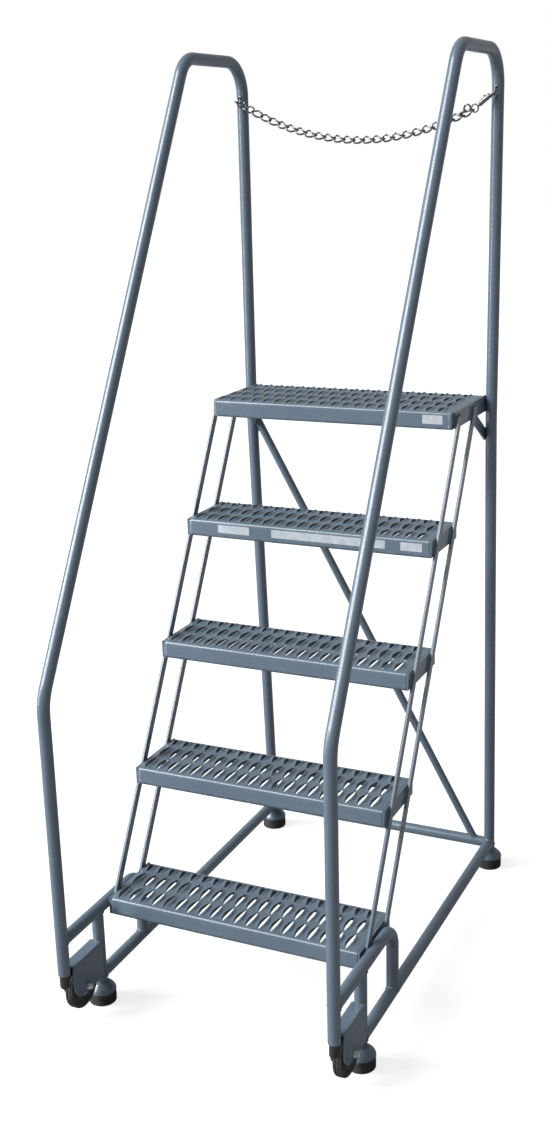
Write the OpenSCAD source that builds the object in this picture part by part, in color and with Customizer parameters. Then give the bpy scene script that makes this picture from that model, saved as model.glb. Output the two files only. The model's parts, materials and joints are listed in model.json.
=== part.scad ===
// Rolling warehouse ladder: four steps and a platform on a welded tube frame.
// Units are millimetres. X is the width (right seen from the front), Y the
// depth (front is -Y), Z is up. The floor is z = 0 and the origin is the
// middle of the footprint.

/* [Frame tube] */
// centre distance of the left and right side frames
frame_width = 625; // [500:5:800]
// height of the handrail top above the floor
overall_height = 2032; // [1800:4:2300]
// outside diameter of the frame tube
tube_d = 27; // [22:0.5:34]
// wall thickness of the frame tube
tube_wall = 2; // [1.5:0.1:3]
// front leg axis ahead of the first step's front edge
leg_ahead = 172; // [140:1:220]
// height where the open lower end of the front leg stops
leg_end_z = 148; // [130:1:160]
// height where the front leg turns into the sloping rail
leg_bend_z = 776; // [700:1:850]
// rear post axis behind the first step's front edge
post_back = 832; // [800:1:860]
// height where the rear post starts to splay backwards
post_kink_z = 1200; // [1150:5:1240]
// distance the rear post splays back between the kink and the floor
post_splay = 68; // [0:1:120]
// bend radius between the front leg and the sloping rail
bend_r_leg = 110; // [80:5:200]
// bend radius at the front of the handrail top
bend_r_front = 70; // [55:5:110]
// bend radius at the rear of the handrail top
bend_r_rear = 75; // [55:5:110]
// gap left for the weld between separate welded pieces
weld_gap = 0.1; // [0.05:0.05:0.3]

/* [Base] */
// height of the base rail and cross bar axes
rail_z = 66; // [55:1:90]
// height of the step hoop's top tube axis
hoop_z = 228; // [210:1:245]
// hoop's rear leg axis behind the first step's front edge
hoop_back = 158; // [140:1:180]
// bend radius of the step hoop
hoop_bend_r = 50; // [40:1:70]
// front foot post axis ahead of the first step's front edge
foot_ahead = 30; // [20:1:50]
// diameter of the rear diagonal brace tube
brace_d = 19; // [15:0.5:25]
// wall thickness of the rear diagonal brace tube
brace_wall = 1.6; // [1:0.1:2.5]
// brace foot on the cross bar, distance from the middle
brace_low_x = 274; // [230:1:280]
// height where the brace axis meets the left rear post axis
brace_top_z = 1198; // [1150:1:1210]

/* [Steps] */
// height of the first step
first_rise = 244; // [200:1:280]
// rise from one step to the next
step_rise = 254; // [200:1:300]
// slope of the climb from the floor
climb_deg = 60; // [50:0.5:65]
// front to back depth of a step
step_depth = 177.8; // [120:0.1:250]
// front to back depth of the platform
platform_depth = 241.3; // [200:0.1:400]
// length of the grating planks
plank_length = 586; // [560:1:587]
// sheet thickness of the grating planks
plank_t = 2; // [1.5:0.1:3]
// height of the plank's front and rear flanges
flange_h = 38; // [25:1:64]
// outside radius of the plank's bends
plank_bend_r = 6; // [4:0.5:8]
// sideways spacing of the grating openings
open_pitch_x = 28.6; // [20:0.1:40]
// front to back spacing of the grating openings
open_pitch_y = 63.5; // [40:0.1:80]
// length of one grating opening
open_length = 60; // [30:0.5:62]
// greatest width of one grating opening
open_width = 13; // [8:0.5:18]
// solid margin at the front and rear of the plank
open_margin = 8; // [7:0.5:15]
// thickness of the plates that close the plank ends
end_plate_t = 4.4; // [3:0.1:6]

/* [Stringers and gussets] */
// width of the stringer bars
stringer_w = 19; // [15:1:30]
// thickness of the stringer bars
stringer_t = 5; // [3:0.5:8]
// front stringer axis behind the step's front edge
stringer_front = 43; // [30:1:60]
// rear stringer axis behind the step's front edge
stringer_rear = 155; // [120:1:165]
// width of the platform gusset bars
gusset_w = 25; // [19:1:40]
// downward angle of the gusset bars
gusset_deg = 31; // [20:1:60]
// height where the gusset axis reaches the rear post
gusset_low_z = 1168; // [1140:1:1190]

/* [Feet] */
// radius of the foot cup's rim
cup_r = 31.7; // [25:0.1:40]
// height of the rubber pad below the cup
pad_h = 27; // [20:1:28]
// radius of the rubber pad
pad_r = 31; // [25:0.1:39]
// length of the rubber tip below the front leg
tip_h = 34; // [20:1:36]
// radius of the rubber tip below the front leg
tip_r = 11; // [9:0.1:13]

/* [Wheels] */
// radius of the wheel
wheel_r = 50.8; // [40:0.1:52]
// height of the wheel axle above the floor
wheel_z = 87; // [84:1:95]
// axle ahead of the first step's front edge
wheel_ahead = 111; // [105:1:115]
// width of the tyre
tyre_w = 22; // [18:1:24]
// radius of the axle bolt
axle_r = 4.8; // [4:0.1:6]
// radial clearance between hub and axle bolt
axle_gap = 0.05; // [0.02:0.01:0.08]
// outside width of the wheel bracket
bracket_w = 32; // [30:1:36]
// sheet thickness of the wheel bracket
bracket_t = 3; // [2:0.5:4]
// top height of the wheel bracket
bracket_top_z = 159; // [155:1:165]
// bottom height of the wheel bracket
bracket_low_z = 73.5; // [62:0.5:75]

/* [Chain] */
// height of the staples that hold the chain
chain_z = 1930; // [1900:1:1930]
// height of the lowest point of the chain
chain_low_z = 1838; // [1800:1:1880]
// distance of the chain's lowest point from the middle
chain_mid_x = 10; // [0:1:30]
// pitch of the chain links
link_pitch = 24.2; // [22:0.1:26]
// wire radius of the chain links
link_wire_r = 1.9; // [1.2:0.1:2]
// inside width of the chain links
link_inner_w = 10.2; // [8:0.1:11]
// angle at which the spare link leans against the snap hook
spare_deg = 44; // [35:1:60]
// chain plane ahead of the rear post's front face
chain_ahead = 13; // [12.5:0.5:16]
// wire radius of the staples
staple_r = 1.8; // [1.5:0.1:2]
// radius of the staples' rounded front
staple_ring_r = 11; // [10:0.5:12]
// barrel axis ahead of the staple wire
hook_side = 6.8; // [6:0.1:7]
// thickness of the blank labels
label_t = 0.3; // [0.2:0.1:1]

/* [Hidden] */

$fn = 48;
tube_r = tube_d / 2;
tube_ri = tube_r - tube_wall;
side_x = frame_width / 2;
splay_k = post_splay / post_kink_z;
splay_deg = atan(splay_k);
rear_foot_back = post_back + post_splay - splay_k * 40;
shift_y = (rear_foot_back + cup_r - leg_ahead - tube_r) / 2;
step_run = step_rise / tan(climb_deg);
leg_y = -leg_ahead - shift_y;
post_y = post_back - shift_y;
foot_y = -foot_ahead - shift_y;
wheel_y = -wheel_ahead - shift_y;
foot_post_z = 34;
lap = 1.5;
bend_swell = 0.15;
rear_foot_y = rear_foot_back - shift_y;
hoop_y = hoop_back - shift_y;
top_z = overall_height - tube_r;
platform_z = first_rise + 4 * step_rise;
slope_top_y = leg_y + (top_z - leg_bend_z) / tan(climb_deg);
end_plate_x = side_x - tube_r - 0.2 - end_plate_t;
stringer_x = side_x - tube_r + 0.2;
cope_r = tube_r + weld_gap;

steel = [0.46, 0.52, 0.57];
rubber = [0.07, 0.07, 0.07];
zinc = [0.72, 0.74, 0.75];

function step_y(k) = (k - 1) * step_run - shift_y;
function step_z(k) = first_rise + (k - 1) * step_rise;
function post_y_at(z) = post_y + max(0, post_kink_z - z) * splay_k;
function heading(a, b) = atan2(b[1] - a[1], b[0] - a[0]);
function setback(r, turn) = r * tan(abs(turn) / 2);

// straight round bar in the YZ plane from a point along a heading
module run(p, a, length, r) {
  translate([0, p[0], p[1]])
    rotate([a - 90, 0, 0])
      cylinder(r = r, h = length);
}

// bend in the YZ plane about a centre, from one polar angle over a sweep
module bend(c, bend_r, start, sweep, r) {
  translate([0, c[0], c[1]])
    rotate([90, 0, 90])
      rotate([0, 0, start])
        rotate_extrude(angle = sweep)
          translate([bend_r, 0])
            circle(r = r);
}

// round bar through points in the YZ plane, rounded at each inner point; the
// bends are a hair thicker and the straights run into them, so they fuse
module bar_path(pts, radii, r) {
  last = len(pts) - 1;
  for (i = [0:last - 1]) {
    a = heading(pts[i], pts[i + 1]);
    before = i == 0 ? 0 : setback(radii[i - 1], a - heading(pts[i - 1], pts[i])) - lap;
    after = i == last - 1 ? 0 : setback(radii[i], heading(pts[i + 1], pts[i + 2]) - a) - lap;
    run(pts[i] + before * [cos(a), sin(a)], a, norm(pts[i + 1] - pts[i]) - before - after, r);
  }
  for (i = [1:last - 1]) {
    a = heading(pts[i - 1], pts[i]);
    b = heading(pts[i], pts[i + 1]);
    t = pts[i] - setback(radii[i - 1], b - a) * [cos(a), sin(a)];
    c = t + sign(a - b) * radii[i - 1] * [sin(a), -cos(a)];
    bend(c, radii[i - 1], a > b ? b + 90 : a - 90, abs(a - b), r + bend_swell);
  }
}

// tube along the same kind of path, open at both ends
module tube_path(pts, radii) {
  last = len(pts) - 1;
  a = heading(pts[0], pts[1]);
  b = heading(pts[last - 1], pts[last]);
  inner = [for (i = [0:last]) i == 0 ? pts[0] - [cos(a), sin(a)] : i == last ? pts[last] + [cos(b), sin(b)] : pts[i]];
  difference() {
    bar_path(pts, radii, tube_r);
    bar_path(inner, radii, tube_ri);
  }
}

// solid rod between two points in space
module rod(p, q, r) {
  d = q - p;
  translate(p)
    rotate([0, acos(d[2] / norm(d)), atan2(d[1], d[0])])
      cylinder(r = r, h = norm(d));
}

// --- tube frame ---

module handrail(s) {
  pts = [
    [leg_y, leg_end_z],
    [leg_y, leg_bend_z],
    [slope_top_y, top_z],
    [post_y, top_z],
    [post_y, post_kink_z],
    [post_y_at(foot_post_z), foot_post_z]
  ];
  color(steel)
    translate([s * side_x, 0, 0])
      tube_path(pts, [bend_r_leg, bend_r_front, bend_r_rear, 200]);
}

module base_rail(s) {
  y0 = foot_y;
  y1 = post_y_at(rail_z);
  color(steel)
    translate([s * side_x, 0, 0])
      difference() {
        run([y0, rail_z], 0, y1 - y0, tube_r);
        run([y0 - 1, rail_z], 0, y1 - y0 + 2, tube_ri);
        translate([0, y0, 0])
          cylinder(r = cope_r, h = 2 * rail_z);
        translate([0, y1, rail_z])
          rotate([splay_deg, 0, 0])
            cylinder(r = cope_r, h = 120, center = true);
      }
}

module step_hoop(s) {
  color(steel)
    translate([s * side_x, 0, 0])
      difference() {
        tube_path([[leg_y, hoop_z], [hoop_y, hoop_z], [hoop_y, rail_z]], [hoop_bend_r]);
        translate([0, leg_y, hoop_z])
          cylinder(r = cope_r, h = 60, center = true);
        translate([0, hoop_y, rail_z])
          rotate([90, 0, 0])
            cylinder(r = cope_r, h = 60, center = true);
      }
}

module foot_post(s) {
  color(steel)
    translate([s * side_x, foot_y, 0])
      difference() {
        translate([0, 0, foot_post_z])
          cylinder(r = tube_r, h = hoop_z - foot_post_z);
        translate([0, 0, foot_post_z - 1])
          cylinder(r = tube_ri, h = hoop_z);
        translate([0, 0, hoop_z])
          rotate([90, 0, 0])
            cylinder(r = cope_r, h = 60, center = true);
      }
}

module cross_bar() {
  y = post_y_at(rail_z);
  color(steel)
    translate([0, y, rail_z])
      difference() {
        rotate([0, 90, 0])
          cylinder(r = tube_r, h = frame_width, center = true);
        rotate([0, 90, 0])
          cylinder(r = tube_ri, h = frame_width + 2, center = true);
        for (s = [-1, 1])
          translate([s * side_x, 0, 0])
            rotate([splay_deg, 0, 0])
              cylinder(r = cope_r, h = 60, center = true);
        for (s = [-1, 1])
          translate([s * side_x, 0, 0])
            rotate([90, 0, 0])
              cylinder(r = cope_r, h = 60);
      }
}

// its upper end is cut flat and lands on the left gusset
module diagonal_brace() {
  p = [brace_low_x, post_y_at(rail_z), rail_z];
  q = [-side_x, post_y_at(brace_top_z), brace_top_z];
  color(steel)
    difference() {
      rod(p, q, brace_d / 2);
      rod(p - (q - p) * 0.01, q + (q - p) * 0.01, brace_d / 2 - brace_wall);
      translate([p[0], p[1], rail_z])
        rotate([0, 90, 0])
          cylinder(r = cope_r, h = 100, center = true);
      translate([-end_plate_x + weld_gap - 60, q[1] - 60, brace_top_z - 120])
        cube([60, 120, 240]);
    }
}

// --- steps ---

// plank outline seen from the end: top corners rounded
module plank_outline(depth, height, r) {
  translate([0, -height])
    square([depth, height - r]);
  translate([r, -r])
    square([depth - 2 * r, r]);
  for (y = [r, depth - r])
    translate([y, -r])
      circle(r = r);
}

// one pointed opening of the grating, cut short at the rear margin
module opening(y_mid, y_end) {
  half = open_length / 2;
  rear = min(half, y_end - y_mid);
  wide = open_width / 2;
  mid = wide * 0.72;
  rear_wide = rear < half ? wide : 0;
  polygon(rear < half
    ? [[0, -half], [mid, -half / 2], [rear_wide, rear], [-rear_wide, rear], [-mid, -half / 2]]
    : [[0, -half], [mid, -half / 2], [wide, 0], [mid, half / 2],
       [0, half], [-mid, half / 2], [-wide, 0], [-mid, -half / 2]]);
}

module grating(y, z, depth, first_x) {
  rows = ceil((depth - 2 * open_margin) / open_pitch_y);
  columns = floor((plank_length / 2 - first_x) / open_pitch_x);
  color(steel)
    difference() {
      translate([-plank_length / 2, y, z])
        rotate([90, 0, 90])
          linear_extrude(height = plank_length)
            difference() {
              plank_outline(depth, flange_h, plank_bend_r);
              translate([plank_t, -plank_t])
                plank_outline(depth - 2 * plank_t, flange_h, plank_bend_r - plank_t);
            }
      for (i = [0:columns], j = [0:rows - 1]) {
        y_mid = open_margin + open_length / 2 + j * open_pitch_y;
        translate([first_x + i * open_pitch_x, y + y_mid, z - plank_t - 1])
          linear_extrude(height = plank_t + 2)
            opening(y_mid, depth - open_margin);
      }
    }
}

module end_plates(y0, y1, z) {
  color(steel)
    for (x = [-end_plate_x - end_plate_t, end_plate_x])
      translate([x, y0, z - flange_h])
        cube([end_plate_t, y1 - y0, flange_h]);
}

module step_grating(k) {
  grating(step_y(k), step_z(k), step_depth, -plank_length / 2);
}

module step_end_plates(k) {
  end_plates(step_y(k), step_y(k) + step_depth, step_z(k));
}

module platform_grating() {
  grating(step_y(5), platform_z, platform_depth, -plank_length / 2 + 11);
}

module platform_end_plates() {
  end_plates(step_y(5) + 14, post_y - 0.2, platform_z);
}

// --- stringers and gussets ---

module stringer(s, back) {
  low = first_rise - 14;
  high = platform_z - 10;
  color(steel)
    difference() {
      translate([s > 0 ? stringer_x : -stringer_x - stringer_t, 0, 0])
        intersection() {
          translate([0, back - shift_y, first_rise])
            rotate([climb_deg - 90, 0, 0])
              translate([0, -stringer_w / 2, -60])
                cube([stringer_t, stringer_w, 1350]);
          translate([-1, -700, low])
            cube([stringer_t + 2, 1400, high - low]);
        }
      translate([s * side_x, leg_y, hoop_z])
        rotate([-90, 0, 0])
          cylinder(r = cope_r + 0.2, h = 420);
    }
}

module gusset(s) {
  long = 200;
  color(steel)
    translate([s > 0 ? end_plate_x : -end_plate_x - end_plate_t, 0, 0])
      intersection() {
        translate([0, post_y, gusset_low_z])
          rotate([-gusset_deg, 0, 0])
            translate([0, -long, -gusset_w / 2])
              cube([end_plate_t, long + 8, gusset_w]);
        translate([-1, post_y - 300, gusset_low_z - 40])
          cube([end_plate_t + 2, 308, platform_z - flange_h - weld_gap - gusset_low_z + 40]);
      }
}

// --- feet and leg tips ---

module foot_cup(s, y) {
  color(steel)
    translate([s * side_x, y, 0])
      rotate_extrude()
        polygon([
          [tube_r + 0.7, 42], [tube_r + 0.7, 47], [17.5, 47], [28.5, 37], [cup_r, 31], [cup_r, pad_h + 0.2],
          [cup_r - 2, pad_h + 0.2], [cup_r - 2, 30.4], [26.8, 35.2], [18, 42]
        ]);
}

module foot_pad(s, y) {
  color(rubber)
    translate([s * side_x, y, 0])
      union() {
        cylinder(r = pad_r, h = pad_h);
        translate([0, 0, pad_h - 1])
          cylinder(r = cup_r - 3, h = 31 - pad_h);
      }
}

module leg_tip(s) {
  round_r = 6;
  color(rubber)
    translate([s * side_x, leg_y, leg_end_z - tip_h])
      union() {
        rotate_extrude() {
          translate([0, round_r])
            square([tip_r, tip_h - round_r - 0.2]);
          square([tip_r - round_r, round_r]);
          translate([tip_r - round_r, round_r])
            intersection() {
              circle(r = round_r);
              translate([0, -round_r])
                square([round_r, round_r]);
            }
        }
        translate([0, 0, tip_h - 2])
          cylinder(r = tube_ri - 1, h = 26);
      }
}

// --- wheels ---

module wheel_bracket(s) {
  front = leg_y + tube_r + 0.2;
  rear = foot_y - tube_r - 0.2;
  corner = 34;
  color(steel)
    translate([s * side_x, 0, 0])
      difference() {
        intersection() {
          translate([0, front, 0])
            rotate([-90, 0, 0])
              translate([0, -bracket_top_z])
                linear_extrude(height = rear - front)
                  difference() {
                    bracket_section(bracket_w, 4.5);
                    translate([0, bracket_t])
                      bracket_section(bracket_w - 2 * bracket_t, 1.5);
                  }
          rotate([90, 0, 90])
            linear_extrude(height = bracket_w + 4, center = true)
              union() {
                translate([front, bracket_low_z + corner])
                  square([rear - front, bracket_top_z - bracket_low_z - corner]);
                translate([front + corner, bracket_low_z])
                  square([rear - front - corner, corner + 1]);
                translate([front + corner, bracket_low_z + corner])
                  circle(r = corner);
              }
        }
        translate([0, wheel_y, wheel_z])
          rotate([0, 90, 0])
            cylinder(r = axle_r + 0.2, h = bracket_w + 4, center = true);
      }
}

// bracket seen from the front, its top edge on the X axis, open below
module bracket_section(width, r) {
  translate([-width / 2, r])
    square([width, 140]);
  translate([-width / 2 + r, 0])
    square([width - 2 * r, r + 1]);
  for (x = [-width / 2 + r, width / 2 - r])
    translate([x, r])
      circle(r = r);
}

module at_axle(s) {
  translate([s * side_x, wheel_y, wheel_z])
    rotate([0, 90, 0])
      children();
}

module wheel_tyre(s) {
  color(rubber)
    at_axle(s)
      rotate_extrude()
        difference() {
          union() {
            translate([24.1, -tyre_w / 2])
              square([wheel_r - 24.1 - 4, tyre_w]);
            translate([24.1, -tyre_w / 2 + 4])
              square([wheel_r - 24.1, tyre_w - 8]);
            for (z = [-tyre_w / 2 + 4, tyre_w / 2 - 4])
              translate([wheel_r - 4, z])
                circle(r = 4);
          }
          for (z = [-tyre_w / 2, tyre_w / 2])
            translate([34, z])
              circle(r = 2);
        }
}

module wheel_hub(s) {
  color(zinc)
    at_axle(s)
      difference() {
        union() {
          cylinder(r = 24, h = tyre_w - 4, center = true);
          cylinder(r = 10, h = bracket_w - 2 * bracket_t - 1, center = true);
        }
        cylinder(r = axle_r + axle_gap, h = 40, center = true);
      }
}

module axle_bolt(s) {
  half = bracket_w / 2;
  color(zinc)
    at_axle(s)
      union() {
        translate([0, 0, -half - 0.2 - 6])
          cylinder(r = 9, h = 6, $fn = 6);
        translate([0, 0, -half - 1])
          cylinder(r = axle_r, h = 2 * half + 1 + 14);
      }
}

module axle_nut(s) {
  color(zinc)
    at_axle(s)
      translate([0, 0, bracket_w / 2 + 0.2])
        difference() {
          cylinder(r = 9, h = 8, $fn = 6);
          translate([0, 0, -1])
            cylinder(r = axle_r + 0.1, h = 10);
        }
}

// --- chain and snap hook ---

chain_y = post_y - tube_r - chain_ahead;
chain_k = (chain_z - chain_low_z) / pow(side_x + chain_mid_x, 2);
link_gap = 0.3;
link_end_r = link_inner_w / 2 + link_wire_r;
link_straight = link_pitch + link_gap - link_inner_w;
link_count = 25;

function chain_height(x) = chain_low_z + chain_k * pow(x - chain_mid_x, 2);
function chain_slope(x) = 2 * chain_k * (x - chain_mid_x);
function next_x(x) = x + link_pitch / sqrt(1 + pow(chain_slope(x + link_pitch / 2), 2));
function link_x(i) = i == 0 ? -side_x - 3.3 : next_x(link_x(i - 1));
function link_point(i) = [link_x(i), chain_y, chain_height(link_x(i))];
// neighbours stand square to each other and the middle of the chain is turned
function link_roll(i) = min(45, 15 * i, 15 * (link_count - 1 - i)) + 90 * (i % 2);

// the snap hook's frame: origin in its ring, first axis along its barrel
hook_r = 7.2;
hook_wire_r = 2;
ring_r = 8;
ring_wire_r = 2;
bolt_r = 2.3;
bolt_gap = 0.05;
barrel_r = 5.4;
barrel_start = 14;
barrel_end = 44;
knob_at = 33;
ring_offset = ring_r - ring_wire_r - link_gap / 2 - 0.25;
chain_end = link_point(link_count);
ring_tilt = atan2(chain_z - chain_end[2], side_x - chain_end[0]);
ring_mid = chain_end + ring_offset * [cos(ring_tilt), 0, sin(ring_tilt)];
barrel_rise = atan2(chain_z - ring_mid[2], side_x - ring_mid[0]);
hook_reach = norm([side_x - ring_mid[0], chain_z - ring_mid[2]]);
barrel_yaw = -asin(hook_side / hook_reach);
hook_mid = hook_reach * cos(barrel_yaw) - 1;

module snap_frame() {
  translate(ring_mid)
    rotate([0, -barrel_rise, 0])
      rotate([0, 0, barrel_yaw])
        children();
}

module snap_round(start, end, r) {
  translate([start, 0, 0])
    rotate([0, 90, 0])
      cylinder(r = r, h = end - start);
}

// one link between two chain points, turned about its own length
module link(p, q, roll) {
  d = q - p;
  translate((p + q) / 2)
    rotate([0, -atan2(d[2], d[0]), 0])
      rotate([roll, 0, 0])
        link_shape();
}

// link in its own plane, long way along X
module link_shape() {
  for (e = [-1, 1]) {
    translate([e * link_straight / 2, 0, 0])
      rotate([0, 0, -90 * e])
        rotate_extrude(angle = 180)
          translate([link_end_r, 0])
            circle(r = link_wire_r, $fn = 24);
    translate([-link_straight / 2, e * link_end_r, 0])
      rotate([0, 90, 0])
        cylinder(r = link_wire_r, h = link_straight, $fn = 24);
  }
}

module chain_links(first) {
  color(zinc)
    for (i = [first:2:link_count - 1])
      link(link_point(i), link_point(i + 1), link_roll(i));
}

module spare_link() {
  top = link_point(link_count - 1) + [-5, 0, 1.2];
  color(zinc)
    link(top, top + link_pitch * [cos(spare_deg), 0, sin(spare_deg)], 0);
}

module staple(s) {
  color(zinc)
    translate([s * side_x, chain_y + staple_ring_r, chain_z]) {
      rotate([90, 0, 90])
        rotate([0, 0, 90])
          rotate_extrude(angle = 180)
            translate([staple_ring_r, 0])
              circle(r = staple_r);
      for (z = [-staple_ring_r, staple_ring_r])
        translate([0, 0, z])
          rotate([-90, 0, 0])
            cylinder(r = staple_r, h = chain_ahead - staple_ring_r - weld_gap);
    }
}

module snap_ring() {
  color(zinc)
    snap_frame()
      difference() {
        union() {
          rotate([90, 0, 0])
            rotate_extrude()
              translate([ring_r, 0])
                circle(r = ring_wire_r);
          snap_round(ring_r, barrel_start - 0.3, 3.6);
          snap_round(ring_r, barrel_start + 1.6, 1.9);
        }
        rotate([90, 0, 0])
          cylinder(r = ring_r - ring_wire_r + 0.6, h = 8, center = true);
      }
}

module snap_body() {
  arm = 9;
  web_t = 3.2;
  color(zinc)
    snap_frame() {
      difference() {
        snap_round(barrel_start, barrel_end, barrel_r);
        snap_round(barrel_start + 2, barrel_end + 1, bolt_r + bolt_gap);
        snap_round(barrel_start - 1, barrel_start + 3, 2);
        translate([knob_at - 8.8, -1.8, 0])
          cube([10.6, 3.6, 6]);
      }
      translate([hook_mid, hook_r, 0])
        rotate([0, 0, -90])
          rotate_extrude(angle = 180)
            translate([hook_r, 0])
              circle(r = hook_wire_r);
      translate([hook_mid - arm, 2 * hook_r, 0])
        rotate([0, 90, 0])
          cylinder(r = hook_wire_r, h = arm);
      translate([0, 0, -web_t / 2])
        linear_extrude(height = web_t)
          polygon([
            [barrel_end - 14, 3.4], [barrel_end - 1, 3.4],
            [hook_mid - arm + 1.5, 2 * hook_r - 1], [hook_mid - arm + 1.5, 2 * hook_r + 1.2],
            [hook_mid - arm - 2, 2 * hook_r + 1.2]
          ]);
    }
}

module snap_bolt() {
  color(zinc)
    snap_frame() {
      snap_round(barrel_end - 17, hook_mid - 0.3, bolt_r);
      snap_round(barrel_end - 20.6, barrel_end - 16, 1.2);
      translate([knob_at, 0, 0])
        cylinder(r = 1.4, h = 8);
      translate([knob_at, 0, 7])
        cylinder(r = 2.6, h = 1.6);
    }
}

module snap_spring() {
  color(zinc)
    snap_frame()
      difference() {
        snap_round(barrel_start + 2.2, barrel_start + 5.6, bolt_r - 0.05);
        snap_round(barrel_start + 1, barrel_start + 7, 1.7);
      }
}

// --- blank labels ---

module label(x, y, z, width, height) {
  color([0.85, 0.86, 0.88])
    translate([x - width / 2, y - label_t - 0.05, z - flange_h / 2 - height / 2 + 2])
      cube([width, label_t, height]);
}

module blank_labels() {
  for (l = [[-179, 80], [54.5, 275], [252.5, 50]])
    label(l[0], step_y(4), step_z(4), l[1], 19);
  label(249.5, step_y(5), platform_z, 47, 20);
}

// --- nodes ---

handrail(-1);  // left_handrail
handrail(1);  // right_handrail
base_rail(-1);  // left_base_rail
base_rail(1);  // right_base_rail
step_hoop(-1);  // left_step_hoop
step_hoop(1);  // right_step_hoop
foot_post(-1);  // left_foot_post
foot_post(1);  // right_foot_post
cross_bar();  // rear_cross_bar
diagonal_brace();  // rear_diagonal_brace
gusset(-1);  // left_platform_gusset
gusset(1);  // right_platform_gusset
stringer(-1, stringer_front);  // left_front_stringer
stringer(-1, stringer_rear);  // left_rear_stringer
stringer(1, stringer_front);  // right_front_stringer
stringer(1, stringer_rear);  // right_rear_stringer
step_grating(1);  // step_1_grating
step_grating(2);  // step_2_grating
step_grating(3);  // step_3_grating
step_grating(4);  // step_4_grating
platform_grating();
step_end_plates(1);  // step_1_end_plates
step_end_plates(2);  // step_2_end_plates
step_end_plates(3);  // step_3_end_plates
step_end_plates(4);  // step_4_end_plates
platform_end_plates();
wheel_bracket(-1);  // left_wheel_bracket
wheel_bracket(1);  // right_wheel_bracket
wheel_tyre(-1);  // left_wheel_tyre
wheel_tyre(1);  // right_wheel_tyre
wheel_hub(-1);  // left_wheel_hub
wheel_hub(1);  // right_wheel_hub
axle_bolt(-1);  // left_axle_bolt
axle_bolt(1);  // right_axle_bolt
axle_nut(-1);  // left_axle_nut
axle_nut(1);  // right_axle_nut
foot_cup(-1, foot_y);  // front_left_foot_cup
foot_cup(1, foot_y);  // front_right_foot_cup
foot_cup(-1, rear_foot_y);  // rear_left_foot_cup
foot_cup(1, rear_foot_y);  // rear_right_foot_cup
foot_pad(-1, foot_y);  // front_left_foot_pad
foot_pad(1, foot_y);  // front_right_foot_pad
foot_pad(-1, rear_foot_y);  // rear_left_foot_pad
foot_pad(1, rear_foot_y);  // rear_right_foot_pad
leg_tip(-1);  // left_leg_tip
leg_tip(1);  // right_leg_tip
staple(-1);  // left_chain_staple
staple(1);  // right_chain_staple
chain_links(0);  // chain_odd_links
chain_links(1);  // chain_even_links
spare_link();  // spare_chain_link
snap_ring();  // snap_hook_ring
snap_body();  // snap_hook_body
snap_bolt();  // snap_hook_bolt
snap_spring();  // snap_hook_spring
blank_labels();
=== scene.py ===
"""Looks of the rolling warehouse ladder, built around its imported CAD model."""

import json
import math
import random

import bmesh
import bpy
from mathutils import Matrix, Vector


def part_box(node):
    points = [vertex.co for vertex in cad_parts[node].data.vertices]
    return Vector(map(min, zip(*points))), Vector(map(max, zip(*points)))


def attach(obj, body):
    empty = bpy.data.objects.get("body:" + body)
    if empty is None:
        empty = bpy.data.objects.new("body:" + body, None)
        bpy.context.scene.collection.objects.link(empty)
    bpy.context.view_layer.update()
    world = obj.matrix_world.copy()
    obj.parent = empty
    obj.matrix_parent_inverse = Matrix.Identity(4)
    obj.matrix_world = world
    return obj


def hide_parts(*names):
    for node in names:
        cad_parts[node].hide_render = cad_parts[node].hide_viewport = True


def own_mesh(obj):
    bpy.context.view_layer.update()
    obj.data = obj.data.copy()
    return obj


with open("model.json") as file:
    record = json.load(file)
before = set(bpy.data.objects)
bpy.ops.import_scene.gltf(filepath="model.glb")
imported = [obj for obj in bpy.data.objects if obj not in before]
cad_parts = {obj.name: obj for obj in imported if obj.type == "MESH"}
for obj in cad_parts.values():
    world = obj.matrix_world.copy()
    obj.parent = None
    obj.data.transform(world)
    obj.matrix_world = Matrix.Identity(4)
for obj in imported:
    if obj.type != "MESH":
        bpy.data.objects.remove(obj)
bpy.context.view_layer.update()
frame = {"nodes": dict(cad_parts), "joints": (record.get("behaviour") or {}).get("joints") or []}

SIDES = {"left": -1, "right": 1}
STEPS = ("step_1", "step_2", "step_3", "step_4", "platform")
CORNERS = ("front_left", "front_right", "rear_left", "rear_right")
X = Vector((1, 0, 0))
Y = Vector((0, 1, 0))
Z = Vector((0, 0, 1))


# ---------------------------------------------------------------- helpers

def box(node):
    """Low and high corners of a CAD node."""
    low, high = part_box(node)
    return Vector(low), Vector(high)


def middle(node):
    low, high = box(node)
    return (low + high) / 2


def add_piece(name, bm, material, body="frame", smooth=40, recalc=True):
    """Turns a bmesh into an object that rides on a body; smooth is the sharpest angle left soft."""
    if recalc:
        bmesh.ops.recalc_face_normals(bm, faces=bm.faces)
    mesh = bpy.data.meshes.new(name)
    bm.to_mesh(mesh)
    bm.free()
    piece = bpy.data.objects.new(name, mesh)
    bpy.context.scene.collection.objects.link(piece)
    mesh.materials.append(material)
    if smooth:
        mesh.shade_smooth()
        mesh.set_sharp_from_angle(angle=math.radians(smooth))
    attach(piece, body)
    return piece


def bevel(piece, width):
    mod = piece.modifiers.new("edge rounding", "BEVEL")
    mod.width = width
    mod.segments = 2
    mod.limit_method = "ANGLE"
    mod.angle_limit = math.radians(35)
    mod.harden_normals = False


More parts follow.
